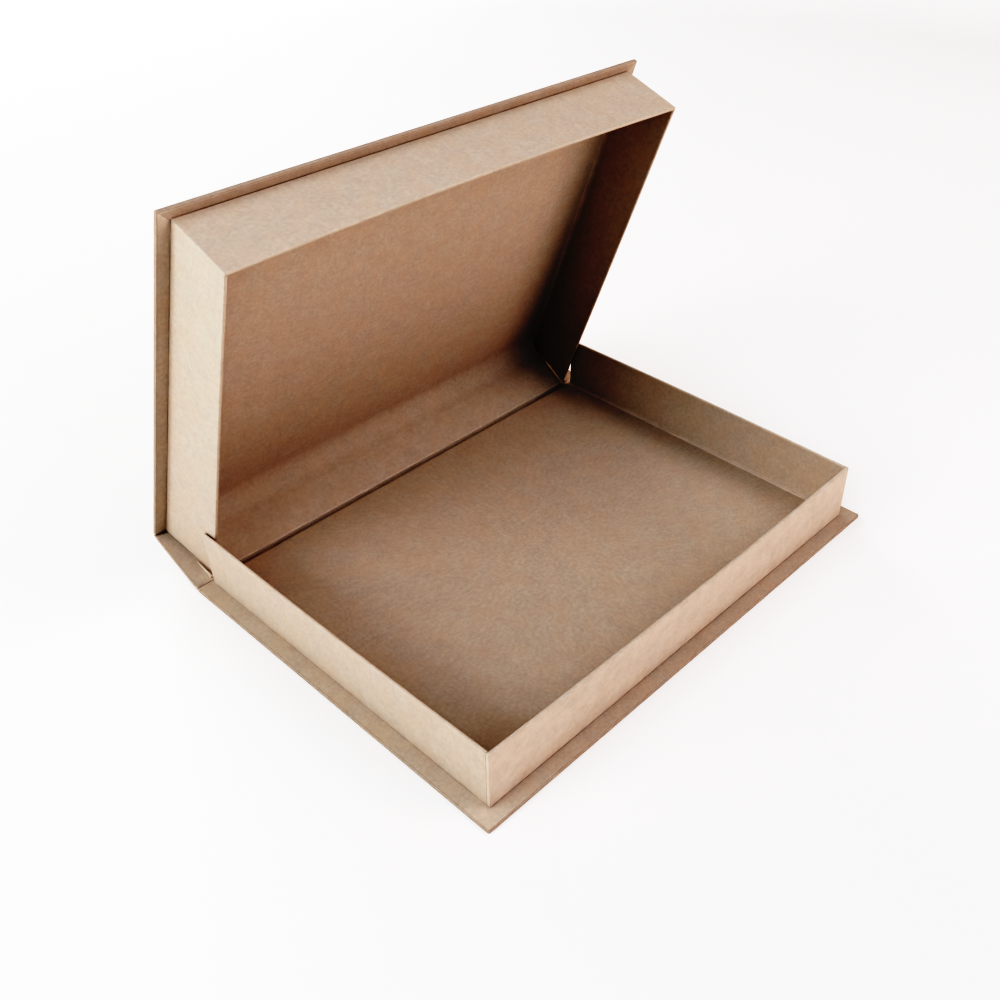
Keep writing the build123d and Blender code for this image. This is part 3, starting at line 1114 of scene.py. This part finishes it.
FLOOR_SIZE = 30.0
FLOOR_PALE = (0.93, 0.885, 0.83)
FLOOR_WHITE = (0.95, 0.905, 0.85)
FLOOR_CLOUD_SIZE = 0.25
FLOOR_ROUGHNESS = 0.9
FLOOR_SPECULAR = 0.1
WHITE = (1, 1, 1, 1)
GLOW_START = 1.3  # metres from the box, where the sweep starts to shine as a lit studio floor does
GLOW_FULL = 2.6
GLOW_STRENGTH = 0.6
WORLD_LIGHT = 0.041  # strength as light on the scene
WORLD_SEEN = 0.7  # strength where the camera sees it
SOFTBOX_SIZE = 1.4
SOFTBOX_DISTANCE = 2.4
SOFTBOX_TARGET = Vector((0.0, 0.02, 0.08))
SOFTBOXES = (  # name, azimuth from +X towards +Y, elevation, power, colour
    ("window", 165, 22, 18.3, (0.99, 1.0, 1.04)),
    ("back", 75, 15, 22.2, (0.98, 1.0, 1.07)),
    ("high_right", 315, 45, 10.9, (1.07, 1.0, 1.02)),
    ("low_right", 300, 8, 9.7, (1.29, 1.0, 0.93)),
    ("high_left", 195, 38, 8.6, (0.86, 1.0, 1.15)),
    ("high_back", 120, 60, 7.3, (1.0, 1.0, 1.04)),
    ("front", 270, 25, 6.0, (0.82, 1.0, 1.26)),
    ("top_left", 180, 65, 2.9, (0.96, 1.0, 1.09)),
)
CAMERA_PLACE = Vector((-0.38132, -0.34962, 0.43361))
CAMERA_TARGET = Vector((0.02536, 0.02895, 0.040))
CAMERA_ROLL = math.radians(0.715)
CAMERA_SENSOR = 36  # millimetres, as the lens is
CAMERA_LENS = 40.44
CAMERA_SHIFT = (-0.03925, -0.03817)
CAMERA_CLIP = 0.01
TONE_CURVE = (  # a hard contrast, as light in and light out
    (0.03, 0.0015), (0.05, 0.003), (0.07, 0.007), (0.09, 0.029),
    (0.115, 0.0885), (0.15, 0.198), (0.2, 0.393), (0.26, 0.596),
    (0.33, 0.77), (0.42, 0.878), (0.55, 0.951), (0.7, 0.995),
)


def make_floor_paper():
    """Pale seamless paper, which glows far from the box."""
    material, tree, shader = start_material("floor_paper")
    coords = add_node(tree, "ShaderNodeTexCoord").outputs["Object"]
    clouds = noise_value(tree, coords, FLOOR_CLOUD_SIZE, detail=1.0)
    tree.links.new(mix_colour(tree, clouds, FLOOR_PALE, FLOOR_WHITE), shader.inputs["Base Color"])
    distance = add_node(tree, "ShaderNodeVectorMath", {0: coords}, operation="LENGTH").outputs["Value"]
    links = {"Value": distance, "From Min": GLOW_START, "From Max": GLOW_FULL, "To Max": GLOW_STRENGTH}
    glow = add_node(tree, "ShaderNodeMapRange", links).outputs["Result"]
    tree.links.new(glow, shader.inputs["Emission Strength"])
    shader.inputs["Emission Color"].default_value = WHITE
    shader.inputs["Roughness"].default_value = FLOOR_ROUGHNESS
    shader.inputs["Specular IOR Level"].default_value = FLOOR_SPECULAR
    return material


def make_floor():
    """A wide pale sweep under the box."""
    mesh = bpy.data.meshes.new("floor")
    whole = bmesh.new()
    bmesh.ops.create_grid(whole, x_segments=1, y_segments=1, size=FLOOR_SIZE)
    whole.to_mesh(mesh)
    whole.free()
    floor = add_object("floor", mesh)
    floor.data.materials.append(make_floor_paper())


def add_softbox(name, azimuth, elevation, power, colour):
    """A square lamp aimed at the box."""
    turn, rise = math.radians(azimuth), math.radians(elevation)
    level = math.cos(rise)
    direction = Vector((math.cos(turn) * level, math.sin(turn) * level, math.sin(rise)))
    light = bpy.data.lights.new(name, "AREA")
    light.shape = "SQUARE"
    light.size = SOFTBOX_SIZE
    light.energy = power
    light.color = colour
    lamp = add_object(name, light)
    lamp.location = SOFTBOX_TARGET + SOFTBOX_DISTANCE * direction
    lamp.rotation_euler = direction.to_track_quat("Z", "Y").to_euler()
    lamp.visible_camera = False


def make_world():
    """White all round: faint as light, and bright where the camera sees it."""
    world = bpy.data.worlds.new("studio")
    bpy.context.scene.world = world
    world.use_nodes = True
    background = world.node_tree.nodes["Background"]
    background.inputs["Color"].default_value = WHITE
    seen = add_node(world.node_tree, "ShaderNodeLightPath").outputs["Is Camera Ray"]
    strength = ramp_to(world.node_tree, seen, WORLD_LIGHT, WORLD_SEEN)
    world.node_tree.links.new(strength, background.inputs["Strength"])


def make_camera():
    """The camera, at the photograph's viewing angle."""
    data = bpy.data.cameras.new("camera")
    data.sensor_width = CAMERA_SENSOR
    data.lens = CAMERA_LENS
    data.shift_x, data.shift_y = CAMERA_SHIFT
    data.clip_start = CAMERA_CLIP
    camera = add_object("camera", data)
    aim = (CAMERA_TARGET - CAMERA_PLACE).to_track_quat("-Z", "Y").to_matrix()
    turned = aim @ Matrix.Rotation(CAMERA_ROLL, 3, "Z")
    camera.matrix_world = Matrix.Translation(CAMERA_PLACE) @ turned.to_4x4()
    bpy.context.scene.camera = camera


def set_tone():
    """The contrast of the picture."""
    view_settings = bpy.context.scene.view_settings
    view_settings.view_transform = "Standard"
    view_settings.use_curve_mapping = True
    tone = view_settings.curve_mapping.curves[3].points
    for light_in, light_out in TONE_CURVE:
        tone.new(light_in, light_out)
    for point in tone:
        point.handle_type = "AUTO_CLAMPED"
    view_settings.curve_mapping.update()


make_floor()
for softbox in SOFTBOXES:
    add_softbox(*softbox)
make_world()
make_camera()
set_tone()
